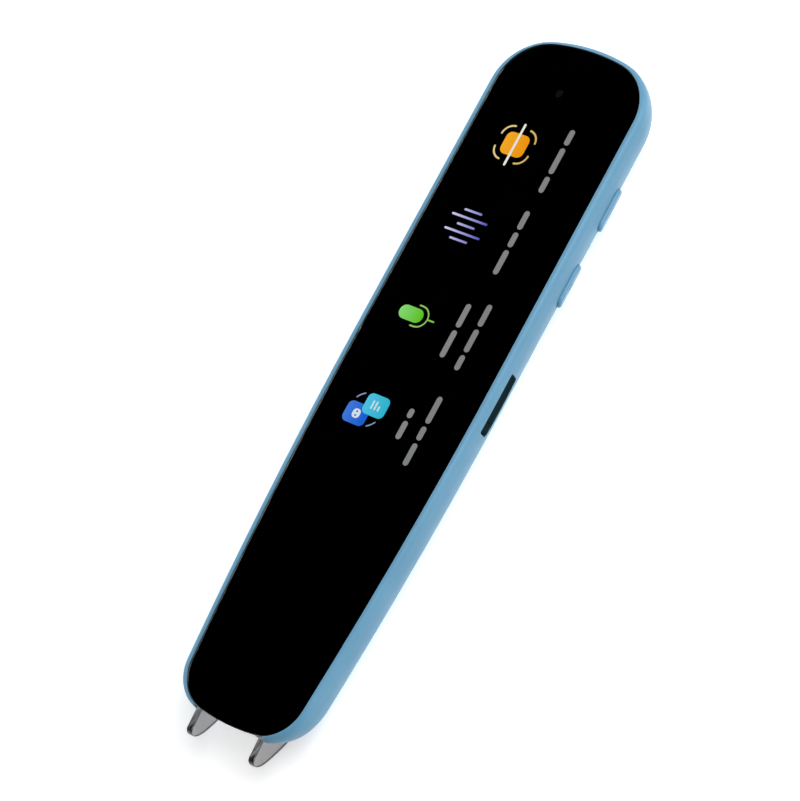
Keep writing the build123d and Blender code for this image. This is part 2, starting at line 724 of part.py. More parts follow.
# ============================================================================================
# scan hood with its two legs, and the switches that feel it move
# ============================================================================================
def leg(x0, x1):
    """One leg: side profile carried across its width, its outer end softened all round."""
    with BuildPart() as limb:
        with BuildSketch(Plane.YZ.offset(x0)):
            with BuildLine():
                Polyline((HOOD_REAR, 1.85), (-69.6, 1.9), (-69.6, 2.3), (-72.1, 2.6))
                Spline(
                    (-72.1, 2.6),
                    (-75.6, 4.25),
                    (-78.2, 5.7),
                    (-80.4, 7.1),
                    (-82.05, 8.6),
                    (-82.75, 10.3),
                    (-82.35, 11.55),
                    (-81.1, 12.0),
                )
                Polyline((-81.1, 12.0), (-77.9, 12.25), (-75.0, 12.6), (HOOD_REAR, 12.6), (HOOD_REAR, 1.85))
            make_face()
        extrude(amount=x1 - x0)
        sides = limb.faces().sort_by(Axis.X)
        rims = sides[0].edges() + sides[-1].edges()
        ends = rims.filter_by(lambda e: e.center().Y < -77)
        upper = rims.filter_by(lambda e: -77 <= e.center().Y < -74.5 and e.center().Z > 9)
        fillet(ends + upper, LEG_SOFT)
    return limb.part


with BuildPart() as scan_hood:
    for side in (-1, 1):
        x0, x1 = sorted((side * LEG_X[0], side * LEG_X[1]))
        add(leg(x0, x1))
        box(x0 + 0.05, x1 - 0.05, HOOD_REAR, TAIL_Y, 6.6, 9.4)
    with BuildSketch(Plane.YZ.offset(-LEG_X[0])):
        Polygon(
            (HOOD_REAR, 1.85), (-69.6, 1.9), (-69.6, 2.3), (-72.1, 2.6), (-72.1, 3.6), (HOOD_REAR, 3.4), align=None
        )
    extrude(amount=2 * LEG_X[0])
    # rear corners of the bar rounded in plan, to follow the notch
    with BuildSketch():
        with Locations((0, HOOD_REAR - 5)):
            Rectangle(30, 40)
        with BuildSketch(mode=Mode.SUBTRACT) as plan:
            with Locations((0, HOOD_REAR - 10)):
                Rectangle(2 * LEG_X[1], 20)
            fillet(plan.vertices().group_by(Axis.Y)[-1], 1.9)
    extrude(amount=6.2, mode=Mode.SUBTRACT)
save(scan_hood.part, "scan_hood")

with BuildPart() as tip_stems:
    for x in (-TIP_SWITCH_X, TIP_SWITCH_X):
        with BuildSketch(Plane.XZ.offset(-TAIL_Y)):
            with Locations((x, TIP_SWITCH_Z)):
                Circle(0.6)
        extrude(amount=-1.9)
save(tip_stems.part, "tip_stems")

for name, side in (("left", -1), ("right", 1)):
    x0, x1 = sorted((side * 7.15, side * 9.95))
    with BuildPart() as switch:
        box(x0, x1, -59.8, -56.6, 5.8, 10.2)
        with BuildSketch(Plane.XZ.offset(60)):
            with Locations((side * TIP_SWITCH_X, TIP_SWITCH_Z)):
                Circle(0.7)
        extrude(amount=-1.2, mode=Mode.SUBTRACT)
    save(switch.part, name + "_tip_switch")
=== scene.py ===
import bpy
import bmesh
import math
from mathutils import Matrix, Vector


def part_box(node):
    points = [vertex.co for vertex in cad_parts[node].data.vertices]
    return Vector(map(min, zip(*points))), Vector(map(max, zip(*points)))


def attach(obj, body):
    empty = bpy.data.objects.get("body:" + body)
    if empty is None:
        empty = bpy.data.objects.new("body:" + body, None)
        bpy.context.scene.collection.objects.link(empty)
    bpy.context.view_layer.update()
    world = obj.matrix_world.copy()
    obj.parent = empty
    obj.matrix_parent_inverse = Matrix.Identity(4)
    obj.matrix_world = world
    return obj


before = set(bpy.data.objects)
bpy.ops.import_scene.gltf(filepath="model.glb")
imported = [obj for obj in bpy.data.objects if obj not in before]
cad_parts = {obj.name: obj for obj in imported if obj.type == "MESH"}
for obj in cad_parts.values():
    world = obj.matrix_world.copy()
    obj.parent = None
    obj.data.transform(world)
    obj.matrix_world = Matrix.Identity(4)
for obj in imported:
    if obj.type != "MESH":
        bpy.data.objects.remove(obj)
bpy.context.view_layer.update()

# --- Tub ---------------------------------------------------------------------------------
# The tub is one injection moulding in sky-blue PC/ABS: back, side walls, rim and grille.
# Its mould is spark eroded to a fine satin, so light spreads softly over the round sides.
# Hands polish the edges first, so they are a little glossier than the walls; their paler colour is a painted
# highlight.

MM = 0.001


def linear(code):
    """Linear colour of an sRGB hex code."""
    parts = [int(code[i:i + 2], 16) / 255 for i in (1, 3, 5)]
    return [p / 12.92 if p <= 0.04045 else ((p + 0.055) / 1.055) ** 2.4 for p in parts] + [1.0]


def add(tree, kind, sockets, to=None, stops=(), **settings):
    """Adds a node with its settings and ramp stops; inputs are values, nodes or their outputs."""
    made = tree.nodes.new("ShaderNode" + kind)
    for name, value in settings.items():
        setattr(made, name, value)
    for i, (at, code) in enumerate(stops):
        stop = made.color_ramp.elements[i] if i < 2 else made.color_ramp.elements.new(at)
        stop.position = at
        stop.color = linear(code)
    for name, value in sockets.items():
        source = value.outputs[0] if isinstance(value, bpy.types.Node) else value
        if isinstance(source, bpy.types.NodeSocket):
            tree.links.new(source, made.inputs[name])
        else:
            made.inputs[name].default_value = source
    if to:
        tree.links.new(made.outputs[0], to)
    return made


def finish(name, **levels):
    """New material with its shader's own levels; gives it, its tree, its shader and object coordinates."""
    material = bpy.data.materials.new(name)
    material.use_nodes = True
    tree = material.node_tree
    shader = tree.nodes["Principled BSDF"]
    for level, value in levels.items():
        shader.inputs[level.replace("_", " ")].default_value = value
    return material, tree, shader, add(tree, "TexCoord", {}).outputs["Object"]


def moulded(name, dull, bright, grit, relief, gloss, **levels):
    """Moulded resin: mould grain as relief, faint flow marks in the colour, handled patches in the gloss."""
    material, tree, shader, place = finish(name, **levels)
    flow = add(tree, "TexNoise", {"Vector": place, "Scale": 1 / (11 * MM), "Detail": 3.0})
    tone = add(tree, "ValToRGB", {"Fac": flow}, shader.inputs["Base Color"], ((0.35, dull), (0.65, bright)))
    handled = add(tree, "TexNoise", {"Vector": place, "Scale": 1 / (4 * MM), "Detail": 4.0})
    patches = {"Value": handled, "From Min": 0.3, "From Max": 0.7, "To Min": gloss[0], "To Max": gloss[1]}
    sheen = add(tree, "MapRange", patches, shader.inputs["Roughness"])
    grain = add(tree, "TexNoise", {"Vector": place, "Scale": 1 / grit, "Detail": 2.0})
    add(tree, "Bump", {"Height": grain, "Distance": relief}, shader.inputs["Normal"])
    return material, tree, shader, tone, sheen


def edge_highlight_and_polish(tree, shader, tone, sheen, pale, width, most=0.5):
    """Paints a highlight on sharp edges in a paler colour and polishes them: a rounded normal leaves the true
    one only near an edge.
    """
    softened = add(tree, "Bevel", {"Radius": width}, samples=4)
    true = add(tree, "NewGeometry", {}).outputs["Normal"]
    apart = add(tree, "VectorMath", {0: softened, 1: true}, operation="DOT_PRODUCT").outputs["Value"]
    edge = add(tree, "MapRange", {"Value": apart, "From Min": 0.995, "From Max": 0.8, "To Max": most})
    # The paler colour mixed in at the edges is a painted highlight; the lower roughness is real polish.
    add(tree, "MixRGB", {"Fac": edge, "Color1": tone, "Color2": linear(pale)}, shader.inputs["Base Color"])
    polish = {0: edge, 1: -0.25, 2: sheen.outputs["Result"]}
    add(tree, "Math", polish, shader.inputs["Roughness"], operation="MULTIPLY_ADD")


def dress(material, *nodes):
    """Gives CAD nodes a finish in every slot of their meshes."""
    for name in nodes:
        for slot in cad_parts[name].material_slots:
            slot.material = material


satin_blue = moulded("satin_blue_abs", "#6AA7CA", "#6FACCF",
                     grit=0.3 * MM, relief=0.004 * MM, gloss=(0.42, 0.52))
# The tub's edges get a painted highlight in paler blue, and real polish in their gloss.
edge_highlight_and_polish(*satin_blue[1:], pale="#A9D3EE", width=0.25 * MM, most=0.85)
dress(satin_blue[0], "housing")

# --- Speaker behind the grille -------------------------------------------------------------
# A woven black polyester cloth keeps dust out of the slots, held by a die-cut foam ring.
# The driver is a small steel basket with a mylar cone, in a closed nylon box that tunes its bass.

WAVE = 0.32  # scale of a wave texture whose bands are about one unit apart


def woven(name, shade_between_threads, thread_crest_tone, thread):
    """Plain weave: two crossed sets of round threads, drawn a little coarser than real to show; the dark
    between the threads is painted shade.
    """
    material, tree, shader, place = finish(name, Roughness=0.75, Sheen_Weight=0.2)
    across = add(tree, "TexWave", {"Vector": place, "Scale": WAVE / thread}, bands_direction="X")
    along = add(tree, "TexWave", {"Vector": place, "Scale": WAVE / thread}, bands_direction="Y")
    cross = add(tree, "MixRGB", {"Fac": 0.5, "Color1": across, "Color2": along}, blend_type="MULTIPLY")
    # The darker colour goes where the threads sink, as painted shade between them.
    add(tree, "ValToRGB", {"Fac": cross}, shader.inputs["Base Color"], ((0.1, shade_between_threads), (0.8, thread_crest_tone)))
    add(tree, "Bump", {"Height": cross, "Distance": 0.3 * thread}, shader.inputs["Normal"])
    return material


def foam(name, dull, bright, cell):
    """Cut foam: open cells as pits, their insides darkened by painted shade."""
    material, tree, shader, place = finish(name, Roughness=0.9)
    pits = add(tree, "TexVoronoi", {"Vector": place, "Scale": 1 / cell})
    # The darker colour at each pit's bottom is painted shade.
    add(tree, "ValToRGB", {"Fac": pits}, shader.inputs["Base Color"], ((0.0, dull), (0.6, bright)))
    add(tree, "Bump", {"Height": pits, "Distance": 0.4 * cell}, shader.inputs["Normal"])
    return material


dress(woven("black_speaker_cloth", "#060607", "#26272A", thread=0.16 * MM), "speaker_mesh")
dress(foam("black_gasket_foam", "#0C0C0D", "#2C2C2E", cell=0.2 * MM), "speaker_gasket")
black_nylon = moulded("black_glass_filled_nylon", "#161718", "#1E1F21",
                      grit=0.25 * MM, relief=0.01 * MM, gloss=(0.45, 0.6))[0]
dress(black_nylon, "speaker_box")

CONE_TOP = 2.55 * MM


def driver_steel():
    """Zinc-plated basket with a darker mylar cone where the height drops below the rim."""
    material, tree, shader, place = finish("zinc_plated_basket", Metallic=1.0)
    height = add(tree, "SeparateXYZ", {"Vector": place}).outputs["Z"]
    level = add(tree, "MapRange", {"Value": height, "From Min": CONE_TOP, "From Max": CONE_TOP + 0.1 * MM})
    add(tree, "ValToRGB", {"Fac": level}, shader.inputs["Base Color"], ((0.2, "#3A3B3E"), (0.8, "#B9BCBE")))
    bloom = add(tree, "TexNoise", {"Vector": place, "Scale": 1 / (0.8 * MM), "Detail": 5.0})
    add(tree, "MapRange", {"Value": bloom, "To Min": 0.25, "To Max": 0.5}, shader.inputs["Roughness"])
    return material


dress(driver_steel(), "speaker_driver")


def leads(name, left, right, middle):
    """PVC-covered wires side by side: one colour each side of the middle, with drawn-on ripples."""
    material, tree, shader, place = finish(name, IOR=1.53)
    side = add(tree, "SeparateXYZ", {"Vector": place}).outputs["X"]
    seam = {"Value": side, "From Min": middle - 0.1 * MM, "From Max": middle + 0.1 * MM}
    step = add(tree, "MapRange", seam)
    add(tree, "ValToRGB", {"Fac": step}, shader.inputs["Base Color"], ((0.45, left), (0.55, right)))
    ripple = add(tree, "TexNoise", {"Vector": place, "Scale": 1 / (0.5 * MM), "Detail": 2.0})
    add(tree, "MapRange", {"Value": ripple, "To Min": 0.3, "To Max": 0.45}, shader.inputs["Roughness"])
    add(tree, "Bump", {"Height": ripple, "Distance": 0.02 * MM}, shader.inputs["Normal"])
    return material


dress(leads("speaker_wire_pvc", "#B0261E", "#18181A", middle=-5.9 * MM), "speaker_lead")

# --- Battery ---------------------------------------------------------------------------------
# A lithium pouch cell in aluminium laminate, stuck to the tub's floor on two foam tapes.
# Its head carries the protection strip under amber tape, and two wires run to a plug.


def pouch_foil():
    """Matt aluminium laminate with the soft dimples of a vacuum-sealed pouch."""
    material, tree, shader, place = finish("aluminium_laminate", Metallic=0.85)
    cloud = add(tree, "TexNoise", {"Vector": place, "Scale": 1 / (7 * MM), "Detail": 4.0})
    add(tree, "ValToRGB", {"Fac": cloud}, shader.inputs["Base Color"], ((0.35, "#A9ACB0"), (0.65, "#B8BBBF")))
    add(tree, "MapRange", {"Value": cloud, "To Min": 0.34, "To Max": 0.5}, shader.inputs["Roughness"])
    dimple = add(tree, "TexVoronoi", {"Vector": place, "Scale": 1 / (2.5 * MM)}, feature="SMOOTH_F1")
    add(tree, "Bump", {"Height": dimple, "Distance": 0.08 * MM}, shader.inputs["Normal"])
    return material


dress(pouch_foil(), "battery_pack")
dress(foam("grey_foam_tape", "#3B3B3A", "#5A5A58", cell=0.25 * MM), "battery_pads")
dress(leads("battery_wire_pvc", "#B7281F", "#1A1A1C", middle=-6.0 * MM), "battery_lead")


def tape(name, dull, bright, clear):
    """Thin polyimide: amber film over copper, with shallow long ripples."""
    material, tree, shader, place = finish(name, IOR=1.7, Coat_Weight=clear, Coat_Roughness=0.12)
    tracks = add(tree, "TexWave", {"Vector": place, "Scale": WAVE / (0.5 * MM)}, bands_direction="X")
    add(tree, "ValToRGB", {"Fac": tracks}, shader.inputs["Base Color"], ((0.45, dull), (0.6, bright)))
    ripple = add(tree, "TexNoise", {"Vector": place, "Scale": 1 / (3 * MM), "Detail": 2.0})
    add(tree, "MapRange", {"Value": ripple, "To Min": 0.22, "To Max": 0.36}, shader.inputs["Roughness"])
    add(tree, "Bump", {"Height": ripple, "Distance": 0.05 * MM}, shader.inputs["Normal"])
    return material


amber_film = tape("amber_polyimide_film", "#A8641B", "#C07F2C", clear=0.4)


def inlay(name, outlines, low, high, material, body="tub"):
    """Thin closed layer between two heights, cut to outlines in mm; an outline inside another is a hole."""
    curve = bpy.data.curves.new(name, "CURVE")
    curve.dimensions = "2D"
    curve.fill_mode = "BOTH"
    curve.extrude = (high - low) / 2 * MM
    for outline in outlines:
        spline = curve.splines.new("POLY")
        spline.points.add(len(outline) - 1)
        for point, (x, y) in zip(spline.points, outline):
            point.co = (x * MM, y * MM, 0, 1)
        spline.use_cyclic_u = True
    shape = bpy.data.objects.new(name, curve)
    mesh = bpy.data.meshes.new_from_object(shape)
    bpy.data.objects.remove(shape)
    mesh.transform(Matrix.Translation((0, 0, (low + high) / 2 * MM)))
    welded = bmesh.new()
    welded.from_mesh(mesh)
    bmesh.ops.remove_doubles(welded, verts=welded.verts, dist=0.0005 * MM)
    welded.to_mesh(mesh)
    welded.free()
    return settle(name, mesh, material, body)


def settle(name, mesh, material, body):
    """Puts a finished mesh in the scene as a piece that rides on a body."""
    mesh.name = name
    mesh.materials.clear()
    mesh.materials.append(material)
    piece = bpy.data.objects.new(name, mesh)
    bpy.context.scene.collection.objects.link(piece)
    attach(piece, body)
    return piece


def rounded(x0, x1, y0, y1, radius, steps=7):
    """Rectangle outline with round corners, in mm."""
    outline = []
    for cx, cy, start in ((x1, y1, 0), (x0, y1, 90), (x0, y0, 180), (x1, y0, 270)):
        cx += radius if cx == x0 else -radius
        cy += radius if cy == y0 else -radius
        for i in range(steps):
            turn = math.radians(start + 90 * i / (steps - 1))
            outline.append((cx + radius * math.cos(turn), cy + radius * math.sin(turn)))
    return outline


def in_mm(node):
    """Lowest and highest corner of a CAD node, in mm."""
    low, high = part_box(node)
    return low / MM, high / MM


low, high = in_mm("battery_pack")
TAPE_BAND, TAPE_EDGE, TAPE_INSET, TAPE_APART = 5.0, 0.4, 2.0, 0.8
TAPE_LOW, TAPE_HIGH = high.z + 0.005, high.z + 0.06
left_tape = ("battery_tape_left", low.x + TAPE_INSET, -TAPE_APART)
right_tape = ("battery_tape_right", TAPE_APART, high.x - TAPE_INSET)
for name, x0, x1 in (left_tape, right_tape):
    band = [rounded(x0, x1, high.y - TAPE_BAND, high.y - TAPE_EDGE, radius=0.5)]
    inlay(name, band, TAPE_LOW, TAPE_HIGH, amber_film)

# --- Main board --------------------------------------------------------------------------------
# A six-layer FR-4 board under green solder mask, screwed to six bosses. Copper tracks show as
# slightly raised, lighter lines; the small passives are ceramic bodies with tinned ends.


def board_laminate():
    """Green solder mask over tracks: cells give the routed copper, a fine noise the mask's orange peel."""
    material, tree, shader, place = finish("green_solder_mask", IOR=1.54, Coat_Weight=0.3)
    routes = {"Vector": place, "Scale": 1 / (1.7 * MM), "Randomness": 0.85}
    cells = add(tree, "TexVoronoi", routes, distance="MANHATTAN", feature="F2")
    lines = add(tree, "Math", {0: cells, 1: 7.0}, operation="MULTIPLY")
    tracks = add(tree, "Math", {0: lines}, operation="FRACT")
    copper = ((0.42, "#0D3B22"), (0.5, "#1C5C36"), (0.6, "#0D3B22"))
    add(tree, "ValToRGB", {"Fac": tracks}, shader.inputs["Base Color"], copper)
    peel = add(tree, "TexNoise", {"Vector": place, "Scale": 1 / (0.4 * MM), "Detail": 3.0})
    add(tree, "MapRange", {"Value": peel, "To Min": 0.25, "To Max": 0.4}, shader.inputs["Roughness"])
    add(tree, "Bump", {"Height": tracks, "Distance": 0.01 * MM}, shader.inputs["Normal"])
    return material


green_mask = board_laminate()
dress(green_mask, "main_board", "camera_board")

epoxy_black = moulded("moulded_chip_epoxy", "#131314", "#1B1B1D",
                      grit=0.12 * MM, relief=0.006 * MM, gloss=(0.5, 0.65))[0]
dress(epoxy_black, "processor", "memory_chip", "power_chip", "sound_chip")


def plated(name, shade_low, shade_high, gloss, stroke=None):
    """Plated or bare metal: fine rolling strokes along Y where given, clouding in its gloss."""
    material, tree, shader, place = finish(name, Metallic=1.0)
    longer = (1.0, 0.06, 1.0) if stroke else (1.0, 1.0, 1.0)
    drawn = add(tree, "Mapping", {"Vector": place, "Scale": longer})
    cloud = add(tree, "TexNoise", {"Vector": drawn, "Scale": 1 / (stroke or 0.6 * MM), "Detail": 5.0})
    shades = ((0.3, shade_low), (0.7, shade_high))
    add(tree, "ValToRGB", {"Fac": cloud}, shader.inputs["Base Color"], shades)
    levels = {"Value": cloud, "To Min": gloss[0], "To Max": gloss[1]}
    add(tree, "MapRange", levels, shader.inputs["Roughness"])
    add(tree, "Bump", {"Height": cloud, "Distance": 0.003 * MM}, shader.inputs["Normal"])
    return material


tinned = plated("bright_tin_plate", "#BFC1C2", "#D5D7D8", gloss=(0.22, 0.4), stroke=0.15 * MM)
dress(tinned, "shield_can", "radio_module")
ferrite = moulded("sintered_ferrite", "#35363A", "#44464A",
                  grit=0.1 * MM, relief=0.01 * MM, gloss=(0.5, 0.7))[0]
dress(ferrite, "coils")
cream_nylon = moulded("cream_nylon", "#D3CFC2", "#DEDBCF",
                      grit=0.2 * MM, relief=0.006 * MM, gloss=(0.4, 0.5))[0]
dress(cream_nylon, "battery_socket")
dress(black_nylon, "display_socket", "camera_socket")


def bevelled_blocks(name, blocks, soft, material):
    """Small square-edged parts in one mesh: each block is (x0, x1, y0, y1, z0, z1) in mm, edges broken."""
    shapes = bmesh.new()
    for x0, x1, y0, y1, z0, z1 in blocks:
        size = Matrix.Diagonal((x1 - x0, y1 - y0, z1 - z0, 1))
        middle = Matrix.Translation(((x0 + x1) / 2, (y0 + y1) / 2, (z0 + z1) / 2))
        bmesh.ops.create_cube(shapes, size=1, matrix=Matrix.Scale(MM, 4) @ middle @ size)
    bmesh.ops.bevel(shapes, geom=shapes.edges, offset=soft * MM, segments=2, affect="EDGES")
    mesh = bpy.data.meshes.new(name)
    shapes.to_mesh(mesh)
    shapes.free()
    return settle(name, mesh, material, "tub")


PASSIVE_LONG, PASSIVE_WIDE, PASSIVE_TALL, PASSIVE_PITCH = 1.0, 0.5, 0.45, 1.4
END_LONG, END_LAP, END_PROUD = 0.2, 0.005, 0.03
PASSIVE_ROWS = ((5.2, 30.0, 9), (12.6, 27.0, 8), (-13.2, 32.0, 10), (4.6, 50.0, 5))  # x, first y, count
foot = in_mm("main_board")[1].z + 0.005
reach = PASSIVE_LONG / 2 - END_LONG
bodies, ends = [], []
for x, first, count in PASSIVE_ROWS:
    for i in range(count):
        y = first + PASSIVE_PITCH * i
        y0, y1 = y - PASSIVE_WIDE / 2, y + PASSIVE_WIDE / 2
        bodies.append((x - reach, x + reach, y0, y1, foot, foot + PASSIVE_TALL - END_PROUD))
        for side in (-1, 1):
            a, b = sorted((side * PASSIVE_LONG / 2, side * (reach + END_LAP)))
            ends.append((x + a, x + b, y0, y1, foot, foot + PASSIVE_TALL))
capacitor_tan = moulded("fired_ceramic", "#8A6A48", "#9C7B57",
                        grit=0.1 * MM, relief=0.004 * MM, gloss=(0.4, 0.5))[0]
EDGE_BREAK = 0.03
bevelled_blocks("board_capacitors", bodies, EDGE_BREAK, capacitor_tan)
bevelled_blocks("board_solder_ends", ends, EDGE_BREAK, tinned)

# --- Board screws -------------------------------------------------------------------------------
# Six M1.4 self-tapping screws, carbon steel with a black-zinc finish, heads cross-recessed.

dress(plated("black_zinc_steel", "#2E2F31", "#3C3D40", gloss=(0.3, 0.45)), "frame_screws")

# --- Microphone -----------------------------------------------------------------------------------
# An electret capsule in a nickel-plated can, pushed into a rubber boot that seals it to its hole.

dress(plated("nickel_can", "#B4B2AC", "#C9C7C1", gloss=(0.2, 0.35)), "microphone")
boot_rubber = moulded("black_silicone", "#191A1B", "#222324",
                      grit=0.3 * MM, relief=0.01 * MM, gloss=(0.6, 0.75))[0]
dress(boot_rubber, "microphone_boot")

# --- Display and its frame ----------------------------------------------------------------------
# The display is an LCD with a polariser on top, a white backlight tray below and a folded film.
# A glass-filled nylon midframe holds it; black foam-core tape bonds the cover glass to that.
# Its front polariser is laminated to the glass, so only the glass's outer face mirrors the room.

dress(black_nylon, "midframe")
dress(foam("black_foam_core_tape", "#0A0A0B", "#1B1B1D", cell=0.15 * MM), "glass_adhesive")
tray_white = moulded("white_reflector_pc", "#D6D7D6", "#E2E3E2",
                     grit=0.2 * MM, relief=0.004 * MM, gloss=(0.3, 0.4))[0]
dress(tray_white, "backlight_unit")
polariser = moulded("black_polariser", "#010101", "#020202",
                    grit=0.2 * MM, relief=0.0005 * MM, gloss=(0.1, 0.16), IOR=1.49, Specular_IOR_Level=0.0)[0]
dress(polariser, "display_cell")
glass_low, glass_high = in_mm("cover_glass")
cell_low, cell_high = in_mm("display_cell")
CELL_RIM, WINDOW_CORNER = 0.5, 1.5
window = rounded(cell_low.x + CELL_RIM, cell_high.x - CELL_RIM,
                 cell_low.y + CELL_RIM, cell_high.y - CELL_RIM, WINDOW_CORNER)
BONDED_Z, FILM = glass_low.z + 0.02, 0.03
inlay("screen_face", [window], BONDED_Z, BONDED_Z + FILM, polariser)
dress(amber_film, "display_flex", "antenna", "camera_flex")
sensor_resin = moulded("smoked_epoxy", "#242326", "#2E2D30",
                       grit=0.1 * MM, relief=0.001 * MM, gloss=(0.08, 0.15), IOR=1.55)[0]
dress(sensor_resin, "light_sensor")

# --- Picture on the display ----------------------------------------------------------------------
# The lit display shows a row of four menu signs, each over its caption, reading along the body.
# Signs are common pictograms, captions plain bars. Each colour is its own thin lit layer.

PICTURE_Z = BONDED_Z + FILM
PIXELS, LAYER_STEP = 0.003, 0.005  # thickness of a lit layer, and from one to the next over it
PIXEL_PITCH, PIXEL_GAP = 0.11 * MM, 0.008 * MM
SIGN_X = -6.55
SIGN_UNIT = 0.967  # mm to one unit of a sign's grid


def lit(name, top, bottom, reach, middle=SIGN_X):
    """Lit pixels: a colour that runs across the body over a reach in mm, with a fine pixel grid."""
    material, tree, shader, place = finish(name, Roughness=0.5, Specular_IOR_Level=0.0,
                                           Emission_Strength=1.05)
    shader.inputs["Base Color"].default_value = linear("#000000")
    across = add(tree, "SeparateXYZ", {"Vector": place}).outputs["X"]
    limits = {"From Min": (middle - reach / 2) * MM, "From Max": (middle + reach / 2) * MM}
    level = add(tree, "MapRange", {"Value": across, **limits})
    tone = add(tree, "ValToRGB", {"Fac": level}, None, ((0.0, top), (1.0, bottom)))
    pixels = add(tree, "TexBrick", {"Vector": place, "Scale": 1.0, "Mortar Size": PIXEL_GAP,
                                    "Brick Width": PIXEL_PITCH, "Row Height": PIXEL_PITCH,
                                    "Color1": linear("#FFFFFF"), "Color2": linear("#FFFFFF"),
                                    "Mortar": linear("#D8D8D8")}, offset=0.0)
    mix = {"Fac": 1.0, "Color1": tone, "Color2": pixels}
    add(tree, "MixRGB", mix, shader.inputs["Emission Color"], blend_type="MULTIPLY")
    return material


def stroke(points, width, steps=6):
    """Outline of a line of even width with round ends, drawn through points."""
    lines = [(Vector(b) - Vector(a)).normalized() for a, b in zip(points, points[1:])]
    heads = [lines[0]] + [(a + b).normalized() for a, b in zip(lines, lines[1:])] + [lines[-1]]
    sides = [Vector((-h.y, h.x)) * width / 2 for h in heads]
    left = [Vector(p) + s for p, s in zip(points, sides)]
    right = [Vector(p) - s for p, s in zip(points, sides)]
    outline = list(left)
    for end, side in ((points[-1], sides[-1]), (points[0], -sides[0])):
        for i in range(1, steps):
            outline.append(Vector(end) + side @ Matrix.Rotation(math.radians(180 * i / steps), 2))
        outline += right[::-1] if end == points[-1] else []
    return [tuple(p) for p in outline]


def arc(x, y, radius, start, sweep, steps=9):
    """Points of a round arc from a start angle in degrees."""
    turns = [math.radians(start + sweep * i / steps) for i in range(steps + 1)]
    return [(x + radius * math.cos(t), y + radius * math.sin(t)) for t in turns]


def on_screen(outline, centre):
    """From a sign's own grid, rightwards and up as it is read, to the body's X and Y in mm."""
    return [(SIGN_X - up * SIGN_UNIT, centre + right * SIGN_UNIT) for right, up in outline]


def sign(name, centre, outlines, material, layer=0):
    """One lit colour of a sign, centred along the body; higher layers cover lower ones."""
    low = PICTURE_Z + PIXELS + LAYER_STEP * layer
    inlay(name, [on_screen(o, centre) for o in outlines], low, low + PIXELS, material)


CARDS_Y, VOICE_Y, SOUND_Y, SCAN_Y = -8.8, 13.1, 34.35, 54.1

# two overlapping cards with turning marks: translate a scanned line
CARD_CORNER = 1.25
card_back = rounded(-3.9, 0.9, -1.2, 4.65, CARD_CORNER)
sign("sign_card_back", CARDS_Y, [card_back], lit("lit_blue", "#4B80E4", "#1B62D6", reach=6, middle=-9))
card_front = rounded(-0.9, 3.9, -4.7, 1.05, CARD_CORNER)
cyan = lit("lit_cyan", "#56C8EC", "#2DB8D4", reach=6, middle=-4.9)
sign("sign_card_front", CARDS_Y, [card_front], cyan, layer=1)
balloon = rounded(-2.55, -0.45, 0.75, 2.7, radius=0.8)
dots = [rounded(x - 0.24, x + 0.24, 1.5, 1.98, radius=0.23) for x in (-1.95, -1.05)]
pale = lit("lit_pale", "#E4ECF4", "#D2E4EE", reach=9)
sign("sign_balloon", CARDS_Y, [balloon] + dots, pale, layer=2)
lines = [rounded(0.5, 0.5 + long, y - 0.2, y + 0.2, radius=0.19)
         for long, y in ((2.0, -0.9), (2.0, -1.8), (1.2, -2.7))]
sign("sign_lines", CARDS_Y, lines, pale, layer=2)
turning = [stroke(arc(x, 0, 4.2, start, 28), width=0.3) for x, start in ((-0.47, 29), (0.47, 209))]
sign("sign_turning", CARDS_Y, turning, lit("lit_steel_blue", "#9C9ACA", "#7F9DB8", reach=9))

# microphone: speak to translate
capsule = rounded(-1.62, 1.62, -1.55, 4.65, radius=1.6)
green = lit("lit_green", "#8FE07A", "#5FC614", reach=6.2, middle=-8.2)
sign("sign_capsule", VOICE_Y, [capsule], green)
CRADLE = 2.4
cradle = [(-CRADLE, 0.45)] + arc(0, -0.4, CRADLE, 180, 180, steps=12) + [(CRADLE, 0.45)]
moss = lit("lit_moss", "#A2D878", "#86C458", reach=9)
sign("sign_cradle", VOICE_Y, [stroke(cradle, width=0.34)], moss)
sign("sign_stem", VOICE_Y, [stroke([(0, -2.95), (0, -4.5)], width=0.36)], moss, layer=1)

# sound bars: recording
SHORT, LONG = 2.1, 4.45
bars = [(-3.45, SHORT), (-1.75, LONG), (0.0, SHORT), (1.75, LONG), (3.45, SHORT)]
violet = lit("lit_violet", "#DCD6F8", "#4A50BE", reach=9.5)
sign("sign_sound", SOUND_Y, [stroke([(x, -half), (x, half)], width=0.5) for x, half in bars], violet)

# scan frame: look a word up
FRAME_UP, FRAME_WIDE, FRAME_HIGH, FRAME_CORNER = -1.1, 4.0, 4.4, 2.6
corners = []
for sx, sy, start in ((1, 1, 0), (-1, 1, 90), (-1, -1, 180), (1, -1, 270)):
    cx = sx * (FRAME_WIDE - FRAME_CORNER)
    cy = FRAME_UP + sy * (FRAME_HIGH - FRAME_CORNER)
    corners.append(stroke(arc(cx, cy, FRAME_CORNER, start + 4, 82), width=0.42))
gold = lit("lit_gold", "#EED694", "#DDB566", reach=9, middle=-5.6)
sign("sign_corners", SCAN_Y, corners, gold)
block = rounded(-2.65, 2.65, FRAME_UP - 3.0, FRAME_UP + 3.0, radius=1.4)
orange = lit("lit_orange", "#FFB02A", "#F79A10", reach=6, middle=-5.6)
sign("sign_block", SCAN_Y, [block], orange)
beam = stroke([(-4.85, FRAME_UP), (4.85, FRAME_UP)], width=0.58)
sign("sign_beam", SCAN_Y, [beam], lit("lit_white", "#F4EFE2", "#F4EFE2", reach=9), layer=1)

